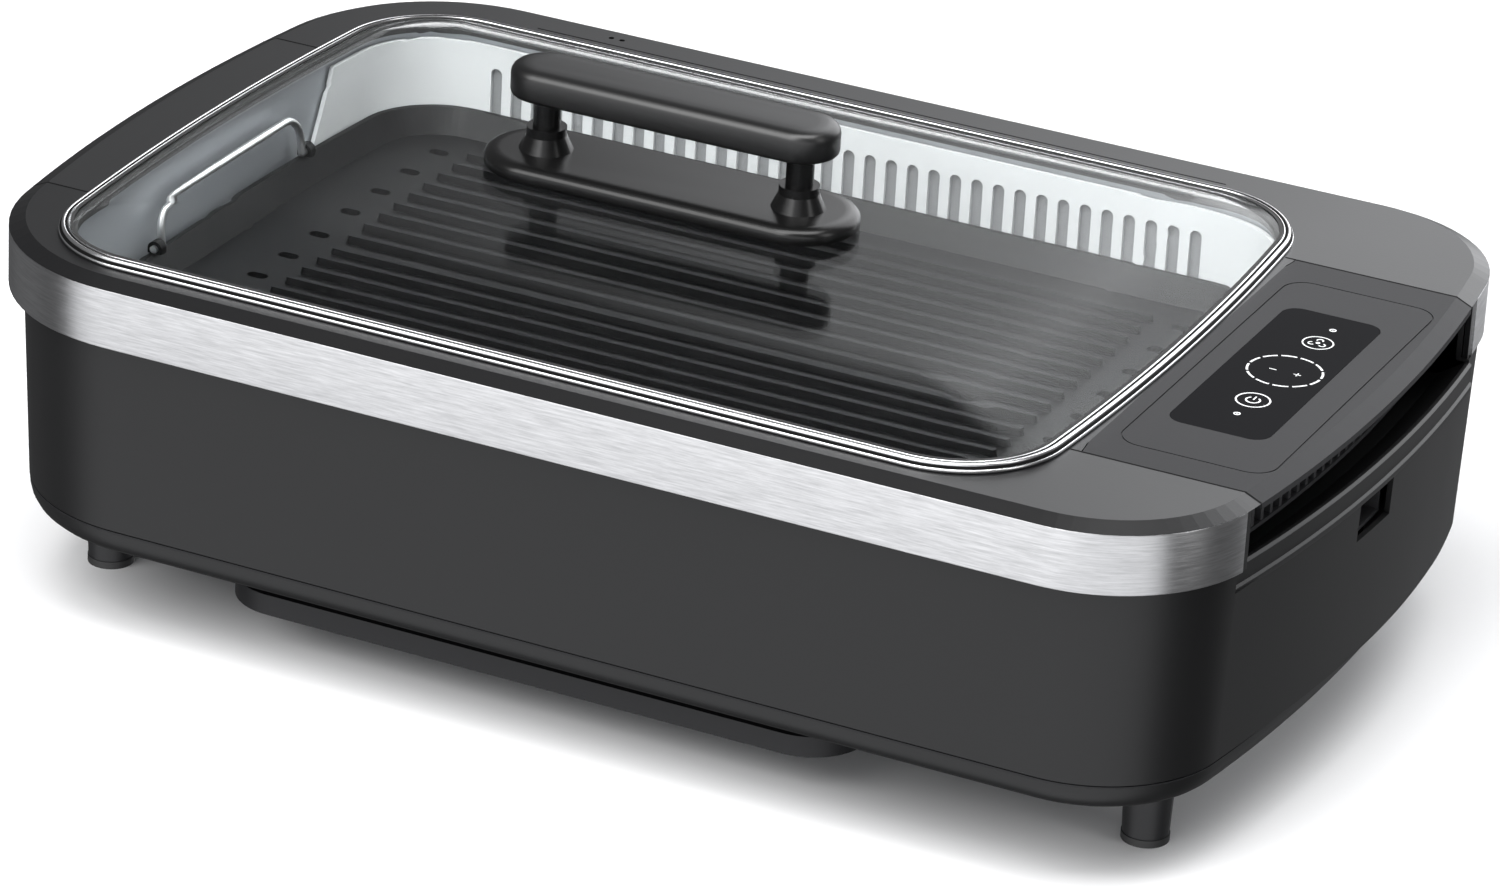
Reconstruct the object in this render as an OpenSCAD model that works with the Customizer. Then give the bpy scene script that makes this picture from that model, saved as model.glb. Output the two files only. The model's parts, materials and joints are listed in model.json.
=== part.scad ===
// Electric indoor grill with a lift-off glass lid, a touch panel and a built-in smoke fan.
// Frame: origin on the table under the middle of the body, +X towards the touch panel,
// +Y towards the air intake at the back, +Z up. All lengths in millimetres.

/* [Body] */
// Length over the bowed ends
body_length = 540; // [500:1:600]
// Width over the straight long sides
body_width = 348.5; // [340:0.5:380]
// Corner radius at the panel end, seen from above
corner_radius = 62; // [50:1:75]
// Corner radius at the end with the side grip
grip_end_radius = 76; // [62:1:80]
// How far each short end bows out between its corners
end_bow = 17.5; // [10:0.5:24]
// Wall thickness of the plastic shells
wall = 2.4; // [2:0.1:3]
// How far the lower wall is set in behind the steel band
wall_inset = 6; // [5:0.5:9]
// Extra set-in of the lower wall at its bottom crease
wall_draft = 2.6; // [0:0.1:6]
// How much further the lower wall reaches at the panel end
housing_reach = 2; // [0:0.5:3]

/* [Heights] */
// Table to the underside of the body
foot_height = 35; // [30:1:45]
// Height of the rounded base cover
base_height = 11; // [8:1:14]
// Height of the drafted lower wall
wall_height = 81.2; // [78:0.2:100]
// Height of the brushed steel band
band_height = 24.2; // [20:0.2:28]
// Thickness of the steel band
band_thickness = 0.8; // [0.5:0.1:1.2]
// Rise of the top frame above the band
frame_rise = 3; // [2:0.1:4.5]
// Width of the sloping edge of the top frame
frame_slope = 6.5; // [4:0.5:8]

/* [Cooking opening and lid] */
// Width of the top frame left of the lid
left_margin = 30.3; // [27:0.1:36]
// Width of the top frame right of the lid, where the touch panel lies
right_margin = 80.1; // [78:0.1:90]
// Width of the top frame in front of the lid
front_margin = 12.55; // [11:0.05:20]
// Width of the top frame behind the lid, over the air intake
back_margin = 30.95; // [29:0.05:40]
// Corner radius of the lid
lid_corner = 45; // [38:1:60]
// How far each short end of the lid bows out
lid_bow = 8; // [4:0.5:12]
// Width of the rolled steel rim
rim_width = 4.6; // [4.4:0.1:5]
// Thickness of the rim's sheet
rim_sheet = 0.4; // [0.3:0.1:0.6]
// Thickness of the tempered glass
glass_thickness = 3; // [2.5:0.1:4]
// Rise of the glass from its edge to its flat middle
glass_rise = 11.2; // [8:0.2:16]
// Width of the seat for the rim on the top frame
rim_seat = 4; // [3.5:0.1:4.3]

/* [Lid handle] */
// Distance between the two posts
post_spacing = 110; // [90:1:130]
// Offset of the handle from the middle of the lid
handle_shift = -6; // [-8:0.5:8]
// Radius of the posts
post_radius = 5.5; // [5:0.1:7]
// Free height under the grip
grip_clearance = 23; // [20:0.5:35]
// Half width of the grip
grip_radius = 15; // [13:0.5:18]
// Thickness of the grip
grip_thickness = 13; // [10:0.5:18]
// Width of the bevel round the top of the grip
grip_bevel = 2.5; // [1:0.5:4]
// Half width of the foot plate under the posts
plate_radius = 24.5; // [20:0.5:28]
// Thickness of the foot plate
plate_thickness = 7; // [5:0.5:9]
// Radius of the handle screws
screw_radius = 2.5; // [2:0.1:3]

/* [Cooking well] */
// Sheet thickness of the well
well_sheet = 1; // [0.8:0.1:1.5]
// Depth of the shoulder that carries the grill plate, below the top frame
shoulder_depth = 50.4; // [44:0.2:56]
// Width of that shoulder
shoulder_width = 9; // [8:0.5:12]
// Depth of the well floor below the top frame
well_depth = 93.4; // [90:0.2:96]

/* [Grill plate] */
// Gap between the grill plate and the wall of the well
plate_gap = 5; // [4.5:0.1:6]
// Height of the plate's raised edge above the shoulder
plate_edge_height = 16; // [12:0.5:18]
// Thickness of the plate's floor
plate_floor = 5; // [4:0.5:7]
// Height of the searing ribs
rib_height = 3.2; // [2:0.1:4]
// Width of a searing rib
rib_width = 4.4; // [3:0.1:5]
// Spacing of the searing ribs
rib_pitch = 12.6; // [11:0.1:16]
// Length of a fat drain slot
drain_length = 9; // [6:0.5:14]
// Width of a fat drain slot
drain_width = 5.4; // [4.5:0.1:6]

/* [Wire handles of the grill plate] */
// Distance between the feet of a wire handle
bail_width = 112; // [90:1:130]
// Height of a wire handle above its hinge
bail_height = 17; // [14:0.5:20]
// Radius of the wire
wire_radius = 1.6; // [1.3:0.1:1.8]
// Bend radius at the top corners of the handle
bail_bend = 12; // [8:0.5:13]
// Outward lean of the handle at rest, in degrees
bail_lean = 6; // [2:1:8]

/* [Rear air intake] */
// Height of the intake wall above the shoulder
intake_height = 45; // [38:0.5:46]
// Thickness of the intake wall
intake_thickness = 2.6; // [2:0.1:3]
// Width of one intake slot
slot_width = 5.2; // [4:0.1:6]
// Height of one intake slot
slot_height = 26; // [20:0.5:30]
// Spacing of the intake slots
slot_pitch = 9.6; // [8:0.1:12]
// Plain stretch at each end of the row of slots
slot_margin = 51; // [48:1:70]

/* [Touch panel] */
// Length of the panel across the body
panel_length = 211; // [190:1:230]
// Thickness of the panel at its outer edge
panel_edge = 5.4; // [4.5:0.1:8]
// Width of the frame's ring between the lid and the panel
ring_width = 5; // [4:0.5:7]
// Width of the display along the body
display_width = 40; // [34:0.5:44]
// Length of the display across the body
display_length = 123.5; // [90:0.5:130]
// Thickness of the display glass
display_thickness = 1.2; // [0.8:0.1:1.5]
// Distance of the display's middle from the lid's right edge
display_offset = 35.6; // [34:0.1:38]
// Width of the seams between top pieces
seam = 0.4; // [0.2:0.1:0.8]
// Length of the side grip at the other end
side_grip_length = 184; // [150:1:210]

/* [Exhaust] */
// How far the slats stand back under the panel's edge
slat_setback = 13.5; // [11:0.5:16]
// Spacing of the exhaust slats
slat_pitch = 7.5; // [6:0.1:8]
// Thickness of a slat
slat_thickness = 2.2; // [1.5:0.1:3]
// Height of the slats
slat_height = 20.6; // [18:0.2:21]
// Height of the lip along the top of the lower wall
lip_height = 8.5; // [6:0.5:10]
// How far the exhaust opening reaches past each end of the panel
exhaust_margin = 5.5; // [4:0.5:8]

/* [Power inlet] */
// Width of the inlet recess
inlet_width = 31; // [29:0.5:34]
// Height of the inlet recess
inlet_height = 17; // [16:0.5:20]
// Depth of the inlet recess
inlet_depth = 20; // [17:0.5:22]

/* [Feet and base] */
// Radius of a foot at its bottom
foot_radius = 9; // [7:0.5:12]
// Radius of a foot at its top
foot_top_radius = 10.2; // [8:0.5:13]
// Distance of a foot's axis from the end of the body
foot_margin_x = 45.3; // [40:0.1:70]
// Distance of a foot's axis from the long side of the body
foot_margin_y = 69.45; // [60:0.05:85]
// Height of the rubber pad under a foot
pad_height = 3; // [2:0.5:5]
// Distance of the deep part from the left end of the body
sump_left = 117; // [100:1:140]
// Distance of the deep part from the panel end of the body
sump_right = 153; // [136:1:170]
// Distance of the deep part from the front of the body
sump_front = 26.05; // [24:0.05:40]
// Distance of the deep part from the back of the body
sump_back = 44.45; // [24:0.05:60]
// Depth of the deep part below the base
sump_depth = 16.5; // [12:0.5:20]
// Corner radius of the deep part
sump_corner = 24; // [16:1:40]
// Distance of the base screws from the ends of the body
screw_margin = 34; // [30:1:50]
// Spacing of the base screws across the body
screw_y = 60; // [50:1:70]
// Number of cooling slots in the base
vent_count = 9; // [5:1:11]
// Radius of the base screws
base_screw_radius = 1.8; // [1.5:0.1:2.5]

/* [Smoke fan] */
// Radius of the fan wheel
wheel_radius = 28; // [24:0.5:29]
// Length of the fan wheel
wheel_length = 42; // [36:1:44]
// Number of blades on the wheel
blade_count = 24; // [16:1:30]
// Radius of the fan shaft
shaft_radius = 2; // [1.5:0.1:3]
// Running clearance of the shaft in its bearings
bearing_clearance = 0.05; // [0.02:0.01:0.1]

/* [Hidden] */
$fn = 64;
ARC_FN = 360;
EPS = 0.01;
BIG = 1000;

// Plan of the body, the lid and the deep part
body_half = [body_length / 2, body_width / 2];
lid_half = body_half - [left_margin + right_margin, front_margin + back_margin] / 2;
lid_x = (left_margin - right_margin) / 2;
lid_y = (front_margin - back_margin) / 2;
lid_right = lid_x + lid_half[0];
lid_left = lid_x - lid_half[0];
lid_back = lid_y + lid_half[1];
sump_size = [body_length - sump_left - sump_right, body_width - sump_front - sump_back];
sump_centre = [sump_left - sump_right, sump_front - sump_back] / 2;

// Levels above the table
base_z = foot_height;
crease_z = base_z + base_height;
band_z = crease_z + wall_height;
frame_z = band_z + band_height;
top_z = frame_z + frame_rise;
shoulder_z = top_z - shoulder_depth;
floor_z = top_z - well_depth;
glass_z = top_z + rim_sheet;
glass_top_z = glass_z + glass_thickness + glass_rise;
rim_top_z = glass_z + glass_thickness + rim_sheet;
plate_top_z = glass_top_z + plate_thickness;
grip_z = plate_top_z + grip_clearance;

// Skirt of the top frame, behind the band
skirt_inset = band_thickness;
skirt_thickness = 2.2;
collar_inset = skirt_inset + skirt_thickness + 0.3;
collar_thickness = 2;
collar_height = 18;

// Insets of the pieces round the cooking opening, measured from the lid's outline
well_inset = rim_seat + 1;
plate_inset = well_inset + plate_gap;
gasket_inset = rim_width;
gasket_width = 3;
gasket_drop = 2.6;

// Panel, display and side grip
panel_z = top_z - panel_edge;
display_x = lid_right + display_offset;
pocket_gap = 0.15;
groove_size = [62, panel_length - 34];
groove_corner = 10;
groove_width = 0.6;
groove_inside = groove_size - 2 * [groove_width, groove_width];
key_places = [-29, -6, 6, 34];

// Two small marks and a seam in the frame behind the lid
mark_places = [lid_x - 118, lid_x - 113];
mark_y = lid_back + 17;
seam_ends = [lid_left + 65.7, lid_right - 51.9];
seam_y = lid_back + 9.4;

// Exhaust recess and lip, struck round the centre of the bowed end
end_radius = bow_radius(body_half[1], end_bow);
end_centre = body_half[0] - end_radius;
slat_z = panel_z - slat_height;
lip_inset = 2.5;
lip_z = slat_z - 4;
slat_depth = 6;
exhaust_length = panel_length + 2 * exhaust_margin;
slat_count = floor((exhaust_length - 4) / slat_pitch);

// Plate
plate_base_z = shoulder_z;
grill_z = plate_base_z + plate_floor + 1;
plate_rim_z = plate_base_z + plate_edge_height;
plate_half = [lid_half[0] - plate_inset, lid_half[1] - plate_inset];
bail_x = plate_half[0] - 3.4;
bail_z = plate_rim_z + wire_radius + 0.6;
ear_width = 4;
pin_length = ear_width + 3;

// Fan
fan_x = body_half[0] - 48;
fan_y = lid_y + exhaust_length / 2 - 51.8;
fan_z = crease_z + 40;
scroll_gap = 2.5;
scroll_radius = wheel_radius + scroll_gap;
scroll_wall = 1.6;
scroll_length = wheel_length + 8;
mouth_z = slat_z + 1;
mouth_height = 13;
motor_radius = 17;
motor_length = 26;
inlet_y = -5.5;
inlet_z = lip_z - lip_height - inlet_height;
inlet_x = body_half[0] - lip_inset - inlet_depth;
inlet_back = 8;
inlet_pin_pitch = 7;
inlet_pin_reach = 12;

// Base
cover_round = 6;
sump_step = 3;
vent_x = body_half[0] - 130;
vent_y = lid_y - 12.8;
vent_length = 26;
vent_width = 4;
vent_pitch = 9;
boss_radius = 4;
boss_height = 7;
board_low_z = crease_z + 9;
power_board_size = [54, 76];
power_board_at = [body_half[0] - 20 - power_board_size[0], 62.25 - body_half[1]];
board_post_inset = 6;
relay_at = power_board_at + [6, 8];
relay_size = [19, 16, 19.4];
capacitor_at = power_board_at + [40, 52];
capacitor_radius = 8;
capacitor_height = 26;
board_z = panel_z - 4.6;
board_thickness = 1.6;
board_size = [display_width - 6, display_length + 4.5];
board_bosses = board_size[1] / 2 - 12;
slat_start = asin(lid_y / end_radius);
inlet_wall = 1.5;

// Air duct behind the well, and its leg down to the fan
slot_z = shoulder_z + 9;
slot_count = floor((2 * lid_half[0] - 2 * slot_margin) / slot_pitch);
duct_wall = 1.6;
duct_left = lid_left + 46.8;
duct_right = body_half[0] - 44;
duct_y = lid_back - well_inset + well_sheet;
duct_back = duct_y + 14.7;
duct_z = shoulder_z + 1;
duct_top = panel_z - 2;
leg_reach = 22.6;
leg_x = fan_x - leg_reach;
leg_right = body_half[0] - 30;
leg_y = fan_y + scroll_length / 2;
leg_back = body_half[1] - 42.25;
leg_z = fan_z - leg_reach;
eye_radius = 15;
blade_depth = 7;

// Drip tray and heater
tray_inset = well_inset + shoulder_width + 1.5;
tray_height = 30;
tube_radius = 3.4;
element_z = floor_z + tray_height + 2 + tube_radius;
tube_pitch = (lid_half[1] - 42.5) / 2.5;
tube_left = lid_half[0] - 48.8;
tube_right = lid_half[0] - 38.8;
tube_return = 38;
tube_bend = 14;
lead_bend = 8;
lead_y = tube_bend - lead_bend;
bracket_places = [16 - tube_left, -50, 50, tube_left - 56];
bracket_half = 5;
plug_x = lid_right - well_inset - 12.9;
plug_width = 28;
pin_radius = 1.6;

// Ribs, drains and ears
plate_lip = 2.2;
plate_dish = 9;
drain_x = lid_half[0] - 46.8;
rib_length = 2 * drain_x - 30;
rib_half = floor((plate_half[1] - plate_dish - 16) / rib_pitch);
ear_radius = wire_radius + 1.6;

// Intake
intake_inset = well_inset + 0.3;
filter_thickness = 0.8;
filter_half = lid_x - duct_left;
intake_reach = 100;
intake_foot = lid_back - 87.3;
intake_top = lid_back - 63.3;

// Lid
glass_inset = 1;
dome_steps = [[4.8, 0], [9, 0.1], [15, 0.42], [25, 0.76], [41, 0.96], [59, 1]];
collar_radius = 10.8;
collar_flare = 6;
screw_seat_z = glass_top_z - glass_thickness - 1;
screw_reach = 7;
washer_radius = 7;

// Radius of an arc from its half chord and its rise
function bow_radius(half, rise) = (half * half + rise * rise) / (2 * rise);
// Distance of the corner centres from the middle, so that corners run smoothly into the bowed ends
function corner_x(half, r, bow) =
  half[0] - bow_radius(half[1], bow)
  + sqrt(pow(bow_radius(half[1], bow) - r, 2) - pow(half[1] - r, 2));

// Rounded outline with straight long sides and bowed short ends, set in evenly by an amount
module bowed(half, r, bow, inset = 0) {
  big = bow_radius(half[1], bow);
  cx = corner_x(half, r, bow);
  reach = (half[1] - r) * (big - inset) / (big - r);
  intersection() {
    translate([half[0] - big, 0]) circle(big - inset, $fn = ARC_FN);
    translate([big - half[0], 0]) circle(big - inset, $fn = ARC_FN);
    square([2 * half[0], 2 * reach], center = true);
  }
  square([2 * cx, 2 * (half[1] - inset)], center = true);
  for (sx = [-1, 1], sy = [-1, 1])
    translate([sx * cx, sy * (half[1] - r)]) circle(r - inset);
}
// Plan of the body: rounder corners at the end with the side grip
module body_plan(half, inset = 0) {
  intersection() {
    bowed(half, corner_radius, end_bow, inset);
    translate([-EPS, -BIG]) square([BIG, 2 * BIG]);
  }
  intersection() {
    bowed(half, grip_end_radius, end_bow, inset);
    translate([-BIG, -BIG]) square([BIG, 2 * BIG]);
  }
}
module body_outline(inset = 0) body_plan(body_half, inset);
module lid_outline(inset = 0) translate([lid_x, lid_y]) bowed(lid_half, lid_corner, lid_bow, inset);

module body_slab(inset, z, h) translate([0, 0, z]) linear_extrude(h) body_outline(inset);
module lid_slab(inset, z, h) translate([0, 0, z]) linear_extrude(h) lid_outline(inset);
module body_ring(outer, inner, z, h)
  translate([0, 0, z]) linear_extrude(h) difference() {
    body_outline(outer);
    body_outline(inner);
  }
module lid_ring(outer, inner, z, h)
  translate([0, 0, z]) linear_extrude(h) difference() {
    lid_outline(outer);
    lid_outline(inner);
  }
module box(from, to) translate(from) cube(to - from);
module disc(x, y, z, r, h) translate([x, y, z]) cylinder(r = r, h = h);
// Sector of a ring round the centre of the bowed panel end, as wide as a chord length
module end_arc(profile_in, profile_out, z, h, length)
  intersection() {
    translate([end_centre, 0, z]) difference() {
      cylinder(r = end_radius - profile_out, h = h, $fn = ARC_FN);
      translate([0, 0, -1]) cylinder(r = end_radius - profile_in, h = h + 2, $fn = ARC_FN);
    }
    box([0, lid_y - length / 2, z], [BIG, lid_y + length / 2, z + h]);
  }
// Round-ended bar along X
module pill(length, r, h)
  linear_extrude(h) {
    square([length, 2 * r], center = true);
    for (s = [-1, 1]) translate([s * length / 2, 0]) circle(r);
  }
// Round-ended bar along X that tapers from radius a to radius b
module pill_taper(length, a, b, h) {
  for (s = [-1, 1]) translate([s * length / 2, 0, 0]) cylinder(r1 = a, r2 = b, h = h);
  translate([-length / 2, 0, 0]) rotate([90, 0, 90])
    linear_extrude(length) polygon([[-a, 0], [a, 0], [b, h], [-b, h]]);
}
module at_posts() for (s = [-1, 1]) translate([lid_x + handle_shift + s * post_spacing / 2, lid_y, 0]) children();
module at_feet() for (sx = [-1, 1], sy = [-1, 1])
  translate([sx * (body_half[0] - foot_margin_x), sy * (body_half[1] - foot_margin_y), 0]) children();

// ---- Casing ----

// Outline of the lower wall: it reaches further at the panel end
module wall_slab(inset, z, h)
  translate([housing_reach / 2, 0, z]) linear_extrude(h)
    body_plan(body_half + [housing_reach / 2, 0], wall_inset + inset);
// Drafted solid of the lower wall, set in by a further amount
module wall_solid(inset, z0 = crease_z, z1 = band_z)
  hull() {
    wall_slab(wall_draft + inset, z0, EPS);
    wall_slab(inset, z1 - EPS, EPS);
  }
module inlet_cut()
  box([inlet_x - inlet_back, inlet_y - inlet_width / 2, inlet_z],
      [BIG, inlet_y + inlet_width / 2, inlet_z + inlet_height]);
module recess_cut(z0, z1, extra = 0)
  box([body_half[0] - end_bow - slat_setback - 10, lid_y - exhaust_length / 2 - extra, z0],
      [BIG, lid_y + exhaust_length / 2 + extra, z1]);

// Three base screws along one end, from the crease upwards
module at_screw_rows(side)
  for (y = [-1, 0, 1]) translate([side * (body_half[0] - screw_margin), y * screw_y, crease_z]) children();
module at_screws() for (side = [-1, 1]) translate([0, 0, -crease_z]) at_screw_rows(side) children();

// Lip and sloping sill of the exhaust, swept round the bowed end
module exhaust_sill()
  intersection() {
    translate([end_centre, 0, 0]) rotate_extrude($fn = ARC_FN) polygon([
      [end_radius - slat_setback - slat_depth, lip_z - lip_height],
      [end_radius - lip_inset, lip_z - lip_height],
      [end_radius - lip_inset, lip_z],
      [end_radius - slat_setback, slat_z],
      [end_radius - slat_setback - slat_depth, slat_z]
    ]);
    box([0, lid_y - exhaust_length / 2, 0], [BIG, lid_y + exhaust_length / 2, BIG]);
  }
module lower_housing() color("dimgray") {
  difference() {
    union() {
      wall_solid(0);
      body_slab(collar_inset, band_z - EPS, collar_height);
    }
    wall_solid(wall, crease_z - EPS, band_z - wall);
    wall_slab(wall * 2, band_z - wall - 1, wall + 2);
    body_slab(collar_inset + collar_thickness, band_z, collar_height + 2);
    recess_cut(lip_z - lip_height, frame_z);
    inlet_cut();
  }
  exhaust_sill();
  // Bosses that take the base screws, each on a web to the end wall
  intersection() {
    difference() {
      for (sx = [-1, 1]) at_screw_rows(sx) {
        cylinder(r = boss_radius, h = boss_height);
        translate([sx > 0 ? 0 : -screw_margin, -wall / 2, 0]) cube([screw_margin, wall, boss_height]);
      }
      for (sx = [-1, 1]) at_screw_rows(sx) translate([0, 0, -1]) cylinder(r = base_screw_radius, h = boss_height);
    }
    wall_solid(wall - 0.4);
  }
}

// Rounded rectangle centred on the origin
module rounded_rect(length, width, r) {
  square([length - 2 * r, width], center = true);
  square([length, width - 2 * r], center = true);
  for (sx = [-1, 1], sy = [-1, 1])
    translate([sx * (length / 2 - r), sy * (width / 2 - r)]) circle(r);
}
module sump(inset, z, h)
  translate([sump_centre[0], sump_centre[1], z]) linear_extrude(h)
    rounded_rect(sump_size[0] - 2 * inset, sump_size[1] - 2 * inset, sump_corner - inset);

module bottom_cover() color("#333335") {
  difference() {
    hull() {
      wall_slab(wall_draft, crease_z - EPS, EPS);
      wall_slab(wall_draft + cover_round * 0.2, base_z + base_height * 0.5, EPS);
      wall_slab(wall_draft + cover_round, base_z, EPS);
    }
    wall_slab(wall_draft + cover_round + wall, base_z + wall, base_height);
    sump(sump_step, base_z - 1, sump_depth);
    at_screws() translate([0, 0, base_z - 1]) cylinder(r = base_screw_radius + 0.2, h = 5);
    for (i = [0:vent_count - 1])
      translate([vent_x, vent_y + (i - (vent_count - 1) / 2) * vent_pitch - vent_width / 2, base_z - 1])
        cube([vent_length, vent_width, wall + 2]);
  }
  at_screws() translate([0, 0, base_z + wall]) difference() {
    cylinder(r = boss_radius, h = crease_z - base_z - wall);
    translate([0, 0, -1]) cylinder(r = base_screw_radius + 0.2, h = 20);
  }
}
module base_sump() color("#2c2c2e")
  difference() {
    union() {
      sump(sump_step, base_z - sump_depth + 8, sump_depth - 8 + wall);
      sump(0, base_z - sump_depth, 8.5);
    }
    sump(sump_step + wall, base_z - sump_depth + wall, sump_depth + 2);
  }
module feet() color("#1c1c1e")
  at_feet() translate([0, 0, pad_height]) {
    cylinder(r1 = foot_radius, r2 = foot_top_radius, h = base_z - pad_height);
  }
module foot_pads() color("black")
  at_feet() cylinder(r = foot_radius + 0.3, h = pad_height);
module base_screws() color("silver")
  at_screws() {
    translate([0, 0, base_z - 2.2]) cylinder(r = base_screw_radius * 1.9, h = 2.2);
    translate([0, 0, base_z - 0.1]) cylinder(r = base_screw_radius, h = base_height + boss_height - 1.5);
  }
module steel_band() color("lightgray")
  difference() {
    body_ring(0, band_thickness, band_z, band_height);
    recess_cut(band_z - 1, frame_z + 1, 4);
  }

// ---- Top frame and its inserts ----

module panel_area(gap)
  difference() {
    translate([lid_x, lid_y - panel_length / 2 + gap]) square([BIG, panel_length - 2 * gap]);
    lid_outline(-ring_width - gap);
  }
module grip_area(gap)
  difference() {
    translate([lid_x - BIG, lid_y - side_grip_length / 2 + gap]) square([BIG, side_grip_length - 2 * gap]);
    lid_outline(-ring_width - gap);
  }
// Top edge of the body: flat middle with a sloping border
module top_slab() hull() {
  body_slab(0, frame_z, EPS);
  body_slab(frame_slope, top_z - EPS, EPS);
}
module top_frame() color("#3c3c3f") {
  difference() {
    top_slab();
    lid_slab(rim_seat, frame_z - 1, frame_rise + 2);
    translate([0, 0, frame_z - 1]) linear_extrude(frame_rise + 2) {
      panel_area(0);
      grip_area(0);
    }
    for (x = mark_places) disc(x, mark_y, frame_z + 1, 1.2, 9);
    box([seam_ends[0], seam_y, top_z - 1], [seam_ends[1], seam_y + 2 * seam, top_z + 1]);
  }
  difference() {
    body_ring(skirt_inset, skirt_inset + skirt_thickness, band_z, band_height);
    recess_cut(band_z - 1, frame_z + 1);
  }
}
module side_grip() color("#2b2b2d")
  intersection() {
    top_slab();
    translate([0, 0, frame_z - 1]) linear_extrude(frame_rise + 2) grip_area(seam);
  }
module display_slab(gap, z, h)
  translate([display_x, lid_y, z]) linear_extrude(h)
    rounded_rect(display_width + 2 * gap, display_length + 2 * gap, 7);
module control_panel() color("#48484b") {
  difference() {
    intersection() {
      union() {
        top_slab();
        body_slab(0, panel_z, panel_edge - frame_rise);
      }
      translate([0, 0, panel_z - 1]) linear_extrude(panel_edge + 2) panel_area(seam);
    }
    display_slab(pocket_gap, top_z - display_thickness, 5);
    intersection() {
      translate([display_x + 2, lid_y - 1, top_z - 0.4]) linear_extrude(1) difference() {
        rounded_rect(groove_size[0], groove_size[1], groove_corner);
        rounded_rect(groove_inside[0], groove_inside[1], groove_corner - groove_width);
      }
      body_slab(4, top_z - 1, 2);
    }
  }
  for (y = [-1, 1])
    disc(display_x, lid_y + y * board_bosses, board_z + board_thickness, 3, panel_z - board_z - board_thickness);
}
module touch_display() color("#0b0b0c") display_slab(0, top_z - display_thickness, display_thickness);

// ---- Electronics under the panel ----

module control_board() color("darkgreen")
  box([display_x - board_size[0] / 2, lid_y - board_size[1] / 2, board_z],
      [display_x + board_size[0] / 2, lid_y + board_size[1] / 2, board_z + board_thickness]);
module touch_springs() color("silver")
  for (y = key_places)
    difference() {
      disc(display_x, lid_y + y, board_z + board_thickness, 2.6, panel_z - board_z - board_thickness);
      disc(display_x, lid_y + y, board_z, 2.1, 20);
    }

// Slats stand upright along the bowed end, between a sill and a top rail
module exhaust_grille() color("#161617") {
  step = slat_pitch / (end_radius - slat_setback) * 180 / PI;
  intersection() {
    union() {
      for (i = [0:slat_count - 1])
        translate([end_centre, 0, 0]) rotate([0, 0, (i - (slat_count - 1) / 2) * step + slat_start])
          translate([end_radius - slat_setback - slat_depth + 0.6, -slat_thickness / 2, slat_z + 0.8])
            cube([slat_depth - 1.2, slat_thickness, slat_height - 1.8]);
      end_arc(slat_setback + slat_depth, slat_setback, slat_z, 1.6, exhaust_length - 2);
      end_arc(slat_setback + slat_depth, slat_setback, panel_z - 2, 2, exhaust_length - 2);
    }
    box([0, lid_y - exhaust_length / 2 + 1, 0], [BIG, lid_y + exhaust_length / 2 - 1, BIG]);
  }
}
module power_board() color("darkgreen") {
  translate([power_board_at[0], power_board_at[1], board_low_z])
    cube([power_board_size[0], power_board_size[1], board_thickness]);
  for (x = [board_post_inset, power_board_size[0] - board_post_inset],
       y = [board_post_inset, power_board_size[1] - board_post_inset])
    disc(power_board_at[0] + x, power_board_at[1] + y, base_z + wall, 3, board_low_z - base_z - wall);
}
module power_relay() color("#1d4f91")
  translate([relay_at[0], relay_at[1], board_low_z + board_thickness]) cube(relay_size);
module power_capacitor() color("gold")
  disc(capacitor_at[0], capacitor_at[1], board_low_z + board_thickness, capacitor_radius, capacitor_height);

// ---- Power inlet in the panel end ----

module inlet_socket() color("#111112")
  difference() {
    intersection() {
      inlet_cut();
      wall_slab(wall_draft - 1, inlet_z, inlet_height);
    }
    box([inlet_x, inlet_y - inlet_width / 2 + inlet_wall, inlet_z + inlet_wall],
        [BIG, inlet_y + inlet_width / 2 - inlet_wall, inlet_z + inlet_height - inlet_wall]);
    inlet_pins();
  }
module inlet_pins() color("silver")
  for (i = [-1, 0, 1])
    box([inlet_x - inlet_back, inlet_y + i * inlet_pin_pitch - 1, inlet_z + inlet_height / 2 - 2],
        [inlet_x + inlet_pin_reach, inlet_y + i * inlet_pin_pitch + 1, inlet_z + inlet_height / 2 + 2]);

// ---- Cooking well and air path ----

module well_window()
  box([lid_x - slot_count * slot_pitch / 2 + 6, lid_y, slot_z - 2],
      [lid_x + slot_count * slot_pitch / 2 - 6, BIG, slot_z + slot_height + 2]);
// The well is one pressing, drawn as its wall, its shoulder and its pan
module plug_notch()
  box([plug_x - 4, lid_y - plug_width / 2 - 1, element_z - 5],
      [plug_x + 12.5, lid_y + plug_width / 2 + 1, shoulder_z + 1]);
module well_wall() color("#8d9296")
  difference() {
    union() {
      lid_slab(well_inset - well_sheet, shoulder_z, frame_z - shoulder_z);
      lid_slab(-3, frame_z - well_sheet, well_sheet);
    }
    lid_slab(well_inset, shoulder_z - 1, BIG);
    well_window();
  }
module well_shoulder() color("#8d9296")
  difference() {
    lid_ring(well_inset - well_sheet, well_inset + shoulder_width, shoulder_z - well_sheet, well_sheet);
    plug_notch();
    translate([5, 0, 0]) plug_notch();
  }
module well_pan() color("#8d9296")
  difference() {
    lid_slab(well_inset + shoulder_width - well_sheet, floor_z - well_sheet, shoulder_z - floor_z);
    lid_slab(well_inset + shoulder_width, floor_z, BIG);
    plug_notch();
  }
module duct_mouth()
  box([leg_x - 5, duct_y + duct_wall, duct_z + duct_wall],
      [leg_x + 5, duct_back - duct_wall, duct_top - duct_wall]);
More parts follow.
